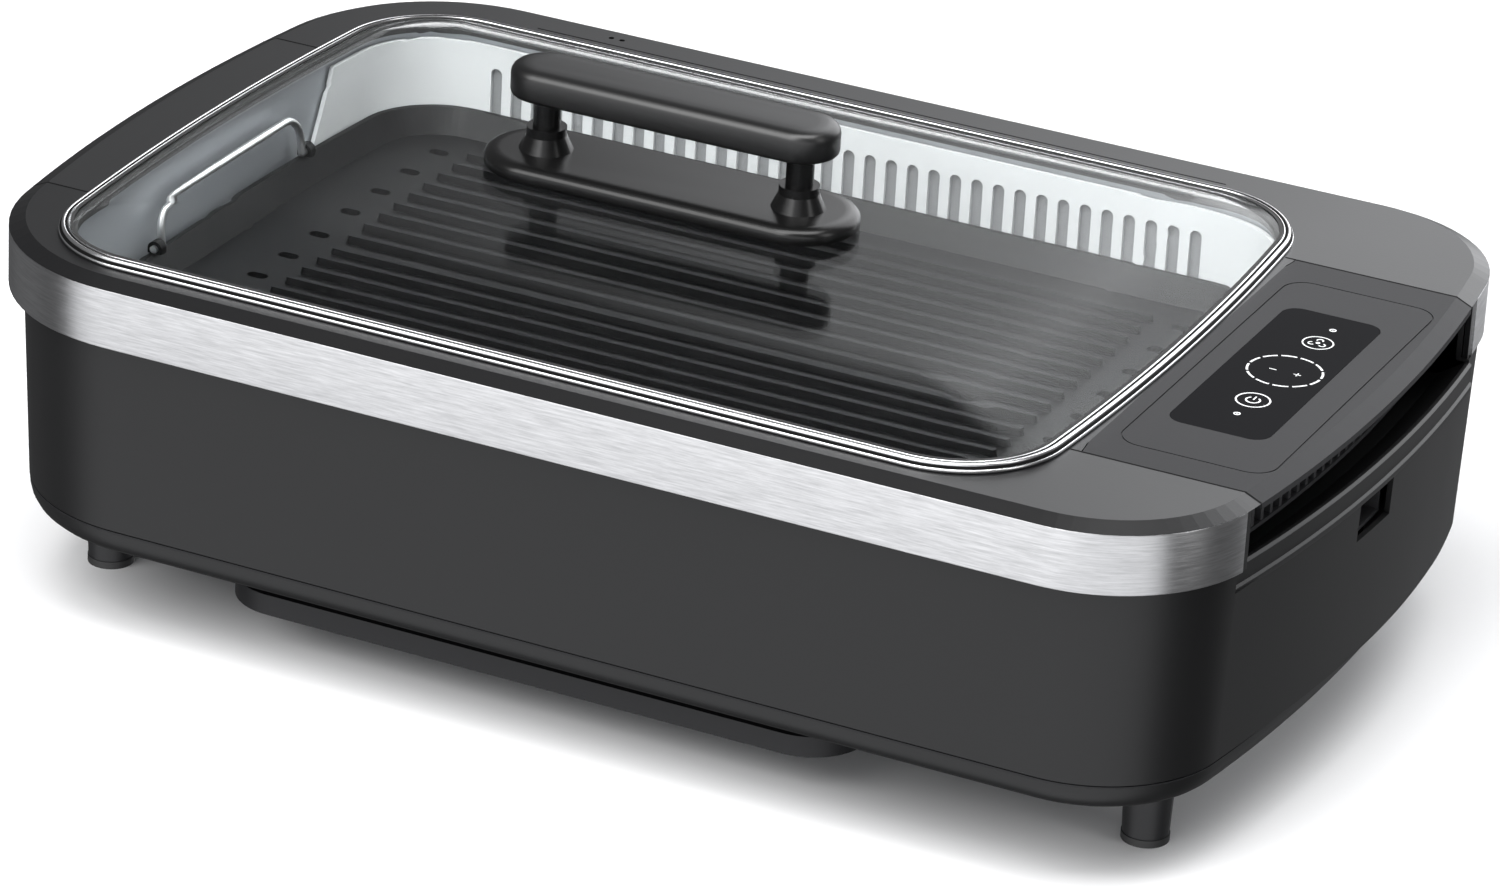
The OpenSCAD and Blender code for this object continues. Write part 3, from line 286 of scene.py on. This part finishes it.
FINISH = {
    "shell_plastic": moulded("satin_shell_plastic", (0.003, 0.003, 0.0033), 0.42, 0.1, gloss=0.42),
    "base_plastic": moulded("plain_base_plastic", (0.008, 0.008, 0.009), 0.5, 0.15, gloss=0.3),
    "panel_plastic": moulded("satin_panel_plastic", (0.018, 0.018, 0.0195), 0.45, 0.1, gloss=0.16),
    "frame_plastic": moulded("satin_frame_plastic", (0.005, 0.005, 0.0055), 0.33, 0.08, gloss=0.5),
    "end_grip_plastic": moulded("matt_end_grip", (0.006, 0.006, 0.0065), 0.42, 0.1, gloss=0.4),
    "foot_plastic": moulded("matt_foot_plastic", (0.009, 0.009, 0.01), 0.5, 0.15, gloss=0.4),
    # painted shade: near-black strips laid over the rim's grooves and the joints of the top pieces, where on
    # the real thing only shadow darkens them
    "painted_gap_shade": moulded("painted_joint_shadow", (0.004, 0.004, 0.004), 0.6, 0.0, gloss=0.05),
    "rubber": moulded("soft_rubber", (0.018, 0.018, 0.018), 0.62, 0.2),
    "steel_screw": moulded("plated_screw", (0.6, 0.6, 0.6), 0.3, 0.05, metallic=1.0),
    "brushed_band": brushed("brushed_steel_band", (0.74, 0.74, 0.75), 0.34, (70.0, 70.0, 1300.0), 0.6),
    "display_glass": moulded("gloss_display", (0.006, 0.006, 0.007), 0.12, 0.0, tone=0.0, drift=0.0,
                             gloss=0.006),
    "board_green": moulded("circuit_board", (0.02, 0.12, 0.05), 0.4),
    "spring_metal": moulded("plated_spring", (0.75, 0.7, 0.55), 0.25, metallic=1.0),
    "dark_plastic": moulded("dark_plastic", (0.022, 0.022, 0.024), 0.5, 0.15),
    "sheet_metal": moulded("aluminised_sheet", (0.46, 0.48, 0.505), 0.5, 0.06, metallic=0.75),
    "motor_metal": moulded("motor_can", (0.5, 0.5, 0.5), 0.3, metallic=1.0),
    "relay_blue": moulded("relay_case", (0.03, 0.1, 0.4), 0.4),
    "foil_yellow": moulded("film_case", (0.7, 0.5, 0.05), 0.3),
    "ceramic": moulded("off_white_ceramic", (0.72, 0.69, 0.6), 0.5),
    "element_metal": moulded("oxidised_tube", (0.1, 0.1, 0.1), 0.5, 0.3, metallic=0.8),
    "heat_plastic": moulded("heat_plastic", (0.025, 0.025, 0.025), 0.5),
    "probe_metal": moulded("probe_steel", (0.6, 0.6, 0.6), 0.35, metallic=1.0),
    "cast_coating": moulded("non_stick_coating", (0.0022, 0.0022, 0.0024), 0.42, 0.2, 500.0, 0.15, 0.1,
                            gloss=0.15),
    "wire_chrome": moulded("plated_wire", (0.9, 0.9, 0.9), 0.3, 0.0, metallic=1.0),
    "intake_metal": moulded("satin_intake", (0.5, 0.51, 0.515), 0.42, 0.08),
    "filter_mesh": moulded("mesh_pad", (0.22, 0.225, 0.23), 0.5, 0.8, 1500.0, metallic=0.3),
    "rim_steel": moulded("polished_rim", (0.8, 0.8, 0.81), 0.26, 0.0, metallic=1.0),
    "clear_glass": clear_glass("clear_lid_glass", (0.97, 0.985, 0.985)),
    "handle_black": moulded("smooth_black_handle", (0.006, 0.006, 0.006), 0.25, 0.04, gloss=0.35),
    "symbol_white": moulded("symbol_white", (0.85, 0.86, 0.87), 0.4, 0.0, tone=0.0, drift=0.0),
    "grip_satin": moulded("satin_grip", (0.004, 0.004, 0.0042), 0.36, 0.05, gloss=0.62),
}
# Nodes whose finish isn't their slot's, and finishes that the record has no slot for
OWN_FINISH = {"top_frame": "frame_plastic", "side_grip": "end_grip_plastic"}

floor_paint = moulded("studio_floor_paint", (0.88, 0.88, 0.885), 0.7, 0.0, tone=0.0, drift=0.0)
floor.data.materials.append(floor_paint)
for row in frame["record"]["subparts"]:
    mesh = nodes[row["node"]].data
    mesh.materials.clear()
    mesh.materials.append(FINISH[OWN_FINISH.get(row["node"], row["material_slot"])])


# ---- sizes, in millimetres ----

# Outlines seen from above: half length and half width, corner radius, bulge of the short ends, middle.
# The wall under the band is its own outline, since it bulges further at the panel end.
LID = dict(half=(214.8, 152.5), corner=45.0, bow=8.0, centre=(-24.9, -9.2))
BODY = dict(half=(270.0, 174.25), corner=62.0, bow=17.5, grip_corner=76.0)
WALL = dict(BODY, half=(271.0, 174.25), centre=(1.0, 0.0))
END_X = 150.0  # what lies further out than this belongs to a short end

# Heights over the table
CREASE = 46.0
SILL_LOW = 114.5
BAND_LOW = 127.2
FRAME_TOP = 154.4
GLASS_TOP = 157.8
PLATE_LOW = 169.0
GRIP_LOW = 199.0

# Lid glass: the dome starts at an inset and rises over a width, its rows at even insets as far as the last
GLASS_THICKNESS = 3.0
DOME_RISE = 11.2
DOME_START = 5.8
DOME_WIDTH = 54.2
LAST_INSET = 40.0

# Lid handle: its middle, the distance of its posts, and half the widths of its grip and foot plate
HANDLE_CENTRE = (-30.9, -9.2)
POST_SPACING = 110.0
GRIP_RADIUS = 15.0
PLATE_RADIUS = 24.5

# Steel band, and how far from the exhaust it ends
BAND_HEIGHT = 24.18
BAND_GAP = 4.0

# Wall: its inset at the crease and under the band, its thickness, and how far the panel end swings out
WALL_INSET = (8.6, 6.0)
WALL_THICKNESS = 2.2
COLLAR_TOP = 145.0
SWING = 4.6
SWING_OUT = (-120.2, 180.0)  # y where the swing starts, and the length over which it grows
SWING_BACK = (80.0, 100.0)  # the same for its way back, towards the back corner

# Openings of the panel end, and the arc of the exhaust's sill
EXHAUST_Y = (-120.2, 101.8)
INLET_Y = (-21.0, 10.0)
INLET_Z = (98.9, 115.9)
SILL_CENTRE = (-529.2, 24.8)
SILL_RADIUS = 799.1

# How far the lines of painted shade over the joints, and the marks, lie over the frame's top
LINE_LIFT = 0.03

# Joints between the top pieces: end of the body and y of each, and the width of the line of painted shade
# laid over each
SEAMS = ((-1, 82.8), (-1, -101.2), (1, 96.3), (1, -114.7))
SEAM_WIDTH = 1.0
SLOPE_LOW = 151.5  # height at which the lines end, down the frame's slope

# Touch panel: the middles of its keys and lamps, and the dashes of the dial
DIAL = np.array([227.6, -6.2])
FAN_KEY = np.array([228.5, 25.2])
POWER_KEY = np.array([227.4, -37.6])
LAMPS = np.array([[229.0, 39.5], [226.9, -52.2]])
DASHES = 12


# ---- surfaces ----

def piece(name, points, faces, body, slot, angle=35.0):
    """Object from a grid or list of points in millimetres and faces, smooth except at edges sharper than an
    angle in degrees."""
    mesh = bpy.data.meshes.new(name)
    places = np.asarray(points, float).reshape(-1, 3) * MM
    mesh.from_pydata(places.tolist(), [], [list(f) for f in faces])
    mesh.shade_smooth()
    mesh.set_sharp_from_angle(angle=math.radians(angle))
    mesh.materials.append(FINISH[slot])
    made = bpy.data.objects.new(name, mesh)
    bpy.context.scene.collection.objects.link(made)
    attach(made, body)
    return made


def arc(x, y, radius, angles):
    """Arc about (x, y): its points' x and y, and the angles of their normals."""
    return x + radius * np.cos(angles), y + radius * np.sin(angles), angles


def outline(half, corner, bow, centre=(0.0, 0.0), grip_corner=None, steps=20):
    """Closed outline, anticlockwise from the panel end: bowed ends are arcs of radius (h^2 + b^2) / 2b
    about points on the long axis, corners are arcs that touch both the bowed end and the straight side. The
    far end may have corners of its own. Returns points and outward normals, so an even inset is
    point - inset * normal."""
    big = (half[1] ** 2 + bow ** 2) / (2 * bow)
    ends = []
    for radius in (corner, grip_corner or corner):
        rise = half[1] - radius
        along = half[0] - big + math.sqrt((big - radius) ** 2 - rise ** 2)
        ends.append((radius, along, rise, math.asin(rise / (big - radius))))
    halves = []
    for side, (near, far) in enumerate((ends, ends[::-1])):
        radius, along, rise, turn = near
        far_radius, far_along, far_rise, far_turn = far
        straight = np.linspace(along, -far_along, steps)[1:-1]
        stretches = (
            arc(half[0] - big, 0.0, big, np.linspace(-turn, turn, 2 * steps)),
            arc(along, rise, radius, np.linspace(turn, QUARTER, steps + 1)[1:]),
            (straight, np.full_like(straight, half[1]), np.full_like(straight, QUARTER)),
            arc(-far_along, far_rise, far_radius,
                np.linspace(QUARTER, math.pi - far_turn, steps + 1)[:-1]),
        )
        x, y, angle = (np.concatenate(values) for values in zip(*stretches))
        halves.append(((1 - 2 * side) * np.stack((x, y), -1), angle + math.pi * side))
    points, angles = (np.concatenate(values) for values in zip(*halves))
    return points + np.array(centre), np.stack((np.cos(angles), np.sin(angles)), -1)


def raised(flat, heights):
    """Rows of points in plan, each row at a height of its own."""
    heights = np.asarray(heights, float)[:, None, None]
    return np.concatenate((flat, np.broadcast_to(heights, flat.shape[:2] + (1,))), -1)


def swept(line, profile, level=0.0):
    """Grid of rows: each profile point (inset, height over a level) is carried along the line."""
    points, normals = line
    profile = np.asarray(profile, float)
    return raised(points[None] - profile[:, 0, None, None] * normals[None], level + profile[:, 1])


def with_columns(line, values):
    """The closed outline with extra points at given y values of its panel end."""
    stack = np.concatenate(line, -1)
    for value in values:
        following = np.roll(stack, -1, axis=0)
        crossing = (stack[:, 0] > END_X) & ((stack[:, 1] - value) * (following[:, 1] - value) < 0)
        for i in np.nonzero(crossing)[0][:1]:
            share = (value - stack[i, 1]) / (following[i, 1] - stack[i, 1])
            stack = np.insert(stack, i + 1, stack[i] + share * (following[i] - stack[i]), axis=0)
    return stack[:, :2], stack[:, 2:] / np.linalg.norm(stack[:, 2:], axis=1, keepdims=True)


def between(values, span, margin=0.0):
    """Which values lie inside a span by more than a margin."""
    return (values > span[0] + margin) & (values < span[1] - margin)


def open_line(line, span):
    """The outline without the stretch of the panel end inside a span of y, its ends cut exactly there."""
    points, normals = with_columns(line, span)
    gap = (points[:, 0] > END_X) & between(points[:, 1], span, 1e-6)
    first = np.nonzero(gap & ~np.roll(gap, -1))[0][0] + 1
    order = (first + np.arange((~gap).sum())) % len(points)
    return points[order], normals[order]


def grid_faces(rows, count, close_rows=False, close_line=True):
    """Quads of a grid of rows along a line, wound so that they face away from the profile's left."""
    steps = np.arange(rows if close_rows else rows - 1), np.arange(count if close_line else count - 1)
    r, c = np.meshgrid(*steps, indexing="ij")
    r2, c2 = (r + 1) % rows, (c + 1) % count
    return np.stack((r * count + c, r * count + c2, r2 * count + c2, r2 * count + c), -1).reshape(-1, 4)


def strip_faces(rows, count):
    """Faces of a closed profile carried along an open line, with both ends capped."""
    start = np.arange(rows) * count
    caps = [start.tolist(), (start[::-1] + count - 1).tolist()]
    return grid_faces(rows, count, close_rows=True, close_line=False).tolist() + caps


# ---- lid ----

def dome_height(share):
    """Upper face of the glass: top + rise (1 - (1 - t)^2.6)^1.25, t from 0 where the dome starts to 1."""
    return GLASS_TOP + DOME_RISE * (1 - (1 - share) ** 2.6) ** 1.25


def make_lid_glass():
    """Dome of glass. Rows carry the outline inwards at even insets, then shrink towards the middle, where a
    fan of triangles closes them. The inner face lies a thickness under the outer one, and the rows of the
    edge join them."""
    line = outline(**LID)
    count = len(line[0])
    middle = 0.5 * (line[0].max(0) + line[0].min(0))
    inset = np.linspace(DOME_START, LAST_INSET, 18)
    share = (inset - DOME_START) / DOME_WIDTH
    outer = swept(line, np.stack((inset, dome_height(share)), -1))
    scale = np.linspace(1, 0.05, 12)[1:]
    core_share = share[-1] + (1 - share[-1]) * np.minimum(1, (1 - scale) / 0.2)
    core = middle + (outer[-1, :, :2] - middle)[None] * scale[:, None, None]
    top = np.concatenate((outer, raised(core, dome_height(core_share))))
    under = top[::-1] - (0, 0, GLASS_THICKNESS)
    edge = swept(line, [(3.4, -2.9), (3.2, -2.6), (3.2, -1.2), (3.6, -0.9)], GLASS_TOP)
    grid = np.concatenate((under, edge, top))
    poles = [[*middle, under[0, 0, 2]], [*middle, top[-1, 0, 2]]]
    around = np.arange(count)
    after = (around + 1) % count
    low, last_row = len(grid) * count, (len(grid) - 1) * count
    faces = grid_faces(len(grid), count).tolist()
    faces += np.stack((np.full(count, low), after, around), -1).tolist()
    faces += np.stack((np.full(count, low + 1), last_row + around, last_row + after), -1).tolist()
    points = np.concatenate((grid.reshape(-1, 3), poles))
    made = piece("lid_glass_dome", points, faces, "lid", "clear_glass", 50)
    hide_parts("lid_glass")


def bead(inset, height, radius, start, stop, count):
    """Arc of the rim's profile: inset - r cos a, height + r sin a, with both angles in quarter turns."""
    angle = np.linspace(start * QUARTER, stop * QUARTER, count)
    return list(zip(inset - radius * np.cos(angle), height + radius * np.sin(angle)))


def make_rim():
    """Rolled rim: one closed profile of three beads and the grooves between them, carried round the lid."""
    profile = [(4.0, 0.02)]
    profile += bead(0.9, 0.92, 0.9, -1, 0.55, 9) + [(1.45, 1.8), (1.6, 2.1)]
    profile += bead(2.15, 2.75, 1.0, -0.35, 1, 10) + [(2.6, 3.5), (3.2, 3.35)]
    profile += bead(3.9, 3.25, 0.5, 0.2, 1, 6)
    profile += [(4.5, 2.6), (2.3, 2.5), (2.0, 0.5), (4.0, 0.5)]
    ring = swept(outline(**LID), profile, FRAME_TOP)
    made = piece("lid_rim_beads", ring, grid_faces(*ring.shape[:2], close_rows=True), "lid", "rim_steel", 40)
    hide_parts("lid_rim")


def make_rim_grooves():
    """Painted shade in the rim's two grooves: a dark strip laid across each."""
    strips = [swept(outline(**LID), groove, FRAME_TOP)
              for groove in ([(0.35, 1.65), (1.28, 2.28)], [(2.55, 3.62), (3.45, 3.55)])]
    count = strips[0].shape[1]
    faces = np.concatenate([grid_faces(2, count), grid_faces(2, count) + 2 * count])
    piece("painted_groove_shade", np.concatenate(strips), faces, "lid", "painted_gap_shade", 60)


make_lid_glass()
make_rim()
make_rim_grooves()


# ---- band, wall and base ----

def make_band():
    """Steel band: a thin closed profile with rolled edges, carried round the body from exhaust to exhaust."""
    line = open_line(outline(**BODY), (EXHAUST_Y[0] - BAND_GAP, EXHAUST_Y[1] + BAND_GAP))
    top = BAND_HEIGHT
    profile = [(0.8, 0.0), (0.25, 0.0), (0.05, 0.15), (0.0, 0.5),
               (0.0, top - 0.48), (0.05, top - 0.18), (0.25, top), (0.8, top)]
    strip = swept(line, profile, BAND_LOW)
    made = piece("steel_band_strip", strip, strip_faces(*strip.shape[:2]), "base", "brushed_band", 60)
    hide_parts("steel_band")


def eased(y, start, length):
    """Smooth step s^2 (3 - 2s), s rising from 0 to 1 over a length in y."""
    s = np.clip((y - start) / length, 0, 1)
    return s ** 2 * (3 - 2 * s)


def make_wall():
    """Lower housing: rows of the wall's outline from the crease up, their inset falling evenly, then a ledge
    and a collar on the body's outline, under the band. The panel end swings out by SWING times one smooth
    step in y less a second one. Faces inside the inlet and the exhaust opening are left out."""
    cuts = (*EXHAUST_Y, *INLET_Y)
    heights = np.array([CREASE, CREASE + 0.5, 60.0, 75.0, *INLET_Z, 121.0, BAND_LOW - 0.8, BAND_LOW - 0.2])
    insets = np.interp(heights, (CREASE, BAND_LOW), WALL_INSET)
    insets[0] += 0.4  # the edge at the crease is tucked in a little
    ledge = BAND_LOW - 0.01
    low = swept(with_columns(outline(**WALL), cuts), [*zip(insets, heights), (WALL_INSET[1], ledge)])
    collar = [(3.5, ledge), (3.4, BAND_LOW + 0.2), (3.4, COLLAR_TOP)]
    high = swept(with_columns(outline(**BODY), cuts), collar)
    swing = SWING * (eased(low[:, :, 1], *SWING_OUT) - eased(low[:, :, 1], *SWING_BACK))
    low[:, :, 0] += np.where(low[:, :, 0] > END_X, swing, 0)
    grid = np.concatenate((low, high))
    faces = grid_faces(*grid.shape[:2])
    x, y, z = grid.reshape(-1, 3)[faces].mean(1).T
    inlet = between(y, INLET_Y) & between(z, INLET_Z)
    exhaust = between(y, EXHAUST_Y) & (z > INLET_Z[1])
    kept = faces[~((x > END_X) & (inlet | exhaust))]
    made = piece("housing_wall", grid, kept, "base", "shell_plastic", 30)
    shell = made.modifiers.new("wall_thickness", "SOLIDIFY")
    shell.thickness, shell.offset, shell.use_even_offset = WALL_THICKNESS * MM, -1.0, False
    split = made.modifiers.new("sharp_rims", "EDGE_SPLIT")
    split.split_angle = math.radians(30)
    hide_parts("lower_housing")


def make_sill():
    """Sill and lip of the exhaust: a closed profile carried along the arc x = xc + sqrt(R^2 - (y - yc)^2)."""
    across = np.linspace(*EXHAUST_Y, 60) - SILL_CENTRE[1]
    spokes = np.stack((np.sqrt(SILL_RADIUS ** 2 - across ** 2), across), -1)
    profile = [(20.0, 0.0), (0.4, 0.0), (0.0, 0.7), (0.0, 2.6), (0.9, 3.5), (0.9, 10.5), (1.9, 11.5),
               (3.2, 11.5), (14.0, 4.5), (20.0, 4.5)]
    strip = swept((spokes + SILL_CENTRE, spokes / SILL_RADIUS), profile, SILL_LOW)
    piece("exhaust_sill", strip, strip_faces(*strip.shape[:2]), "base", "shell_plastic", 30)


def make_base_edge():
    """Rounded lower edge of the bottom cover: one closed profile under the crease, carried round it."""
    profile = [(22.0, -0.1), (8.75, -0.1), (8.9, -3.0), (9.5, -5.6), (11.0, -8.4), (13.2, -10.3),
               (15.6, -11.02), (22.0, -11.02)]
    ring = swept(outline(**WALL), profile, CREASE)
    piece("base_edge", ring, grid_faces(*ring.shape[:2], close_rows=True), "base", "shell_plastic", 30)


make_band()
make_wall()
make_sill()
make_base_edge()


# ---- lid handle, and painted shade of the seams ----

def stadium(length, radius, centre, steps=28):
    """Round-ended bar along x, anticlockwise: points centre +- length / 2 + radius (cos a, sin a), and their
    normals."""
    turn = np.linspace(-QUARTER, QUARTER, steps)
    normals = np.concatenate([np.stack((np.cos(a), np.sin(a)), -1) for a in (turn, turn + math.pi)])
    shift = np.repeat([length / 2, -length / 2], steps)
    return np.array(centre) + radius * normals + np.stack((shift, 0 * shift), -1), normals


def make_bar(name, node, radius, profile, level, slot):
    """Closed bar: a profile from its underside up, carried round the stadium, capped below and above."""
    ring = swept(stadium(POST_SPACING, radius, HANDLE_CENTRE), profile, level)
    rows, count = ring.shape[:2]
    caps = [list(range(count))[::-1], list(range((rows - 1) * count, rows * count))]
    made = piece(name, ring, grid_faces(rows, count).tolist() + caps, "lid", slot, 50)
    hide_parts(node)


GRIP_PROFILE = [(5.0, 0.0), (2.0, 0.0), (1.0, 0.3), (0.3, 1.0), (0.0, 2.0), (0.0, 8.6), (0.25, 9.9),
                (0.9, 11.1), (1.9, 12.0), (3.2, 12.55), (5.5, 12.85), (9.0, 12.98)]
PLATE_PROFILE = [(3.0, 0.0), (0.8, 0.25), (0.15, 1.0), (0.0, 2.0), (0.0, 3.6), (0.35, 4.8), (1.3, 5.9),
                 (2.6, 6.6), (4.2, 6.93), (6.5, 7.0)]
make_bar("smooth_grip", "handle_grip", GRIP_RADIUS, GRIP_PROFILE, GRIP_LOW, "grip_satin")
make_bar("smooth_foot_plate", "handle_plate", PLATE_RADIUS, PLATE_PROFILE, PLATE_LOW, "handle_black")


def edge_x(line, inset, side, y):
    """x of an outline, set in evenly, at one end of the body: that of the point nearest to a y value."""
    edge = line[0] - inset * line[1]
    near = edge[(np.sign(edge[:, 0]) == side) & (abs(edge[:, 0]) > END_X)]
    return near[abs(near[:, 1] - y).argmin(), 0]


def make_seams():
    """Painted shade of the joints between the top pieces: each a dark strip from the lid's rim across the
    frame, then down its slope."""
    body, lid = outline(**BODY, steps=60), outline(**LID, steps=60)
    top = FRAME_TOP + LINE_LIFT
    stations = ((lid, -0.5, top), (body, 6.5, top), (body, 0.1, SLOPE_LOW))
    points, faces = [], []
    for side, y in SEAMS:
        base = len(points)
        for line, inset, z in stations:
            x = edge_x(line, inset, side, y)
            points += [(x, y - SEAM_WIDTH / 2, z), (x, y + SEAM_WIDTH / 2, z)]
        faces += [(base, base + 2, base + 3, base + 1), (base + 2, base + 4, base + 5, base + 3)]
    piece("painted_seam_shade", points, faces, "base", "painted_gap_shade", 60)


make_seams()


# ---- symbols of the touch panel ----

def disc_band(centre, inner, outer, start=0.0, stop=2 * math.pi, count=48):
    """Flat band of a circle: points centre + r (cos a, sin a) for both radii between two angles."""
    angle = np.linspace(start, stop, count)
    ring = np.stack((np.cos(angle), np.sin(angle)), -1)
    points = np.concatenate((centre + inner * ring, centre + outer * ring))
    i = np.arange(count - 1)
    return points, np.stack((i, i + count, i + count + 1, i + 1), -1)


def bar(centre, length, width):
    """Flat rectangle, its length along x."""
    corners = np.array([[-length, -width], [length, -width], [length, width], [-length, width]]) / 2
    return centre + corners, np.array([[0, 1, 2, 3]])


def dial_marks():
    """Dashed ring with a minus and a plus inside."""
    step = 2 * math.pi / DASHES
    dashes = [disc_band(DIAL, 13.9, 14.8, k * step + 0.05, (k + 1) * step - 0.05, 8) for k in range(DASHES)]
    minus, plus = DIAL + (-4.6, -0.8), DIAL + (5.3, -0.8)
    return dashes + [bar(minus, 3.0, 0.5), bar(plus, 3.0, 0.5), bar(plus, 0.5, 3.0)]


def key_rings():
    """Rings round the fan key and the power key."""
    return [disc_band(FAN_KEY, 5.6, 6.2), disc_band(POWER_KEY, 6.1, 6.8)]


def power_marks():
    """Open ring with an upright bar in its gap."""
    open_ring = disc_band(POWER_KEY, 2.3, 3.0, math.radians(125), math.radians(415), 28)
    return [open_ring, bar(POWER_KEY + (0, 1.9), 0.6, 3.2)]


def fan_marks():
    """Hub with three leaves."""
    marks = [disc_band(FAN_KEY, 0.0, 0.9, count=16)]
    for k in range(3):
        turn = math.radians(90 + 120 * k)
        leaf = FAN_KEY + 2.5 * np.array([math.cos(turn), math.sin(turn)])
        marks.append(disc_band(leaf, 0.9, 1.5, turn - 2.0, turn + 2.0, 16))
    return marks


def lamp_marks():
    """Each lamp: a small ring round a dot."""
    return [mark for lamp in LAMPS
            for mark in (disc_band(lamp, 0.8, 1.4, count=24), disc_band(lamp, 0.0, 0.35, count=12))]


def make_symbols():
    """All marks of the touch panel as one mesh of flat shapes, just over the display."""
    marks = dial_marks() + key_rings() + power_marks() + fan_marks() + lamp_marks()
    points, faces, base = [], [], 0
    for shape, shape_faces in marks:
        points.append(np.column_stack((shape, np.full(len(shape), FRAME_TOP + LINE_LIFT))))
        faces += (shape_faces + base).tolist()
        base += len(shape)
    piece("touch_symbols", np.concatenate(points), faces, "base", "symbol_white")


make_symbols()
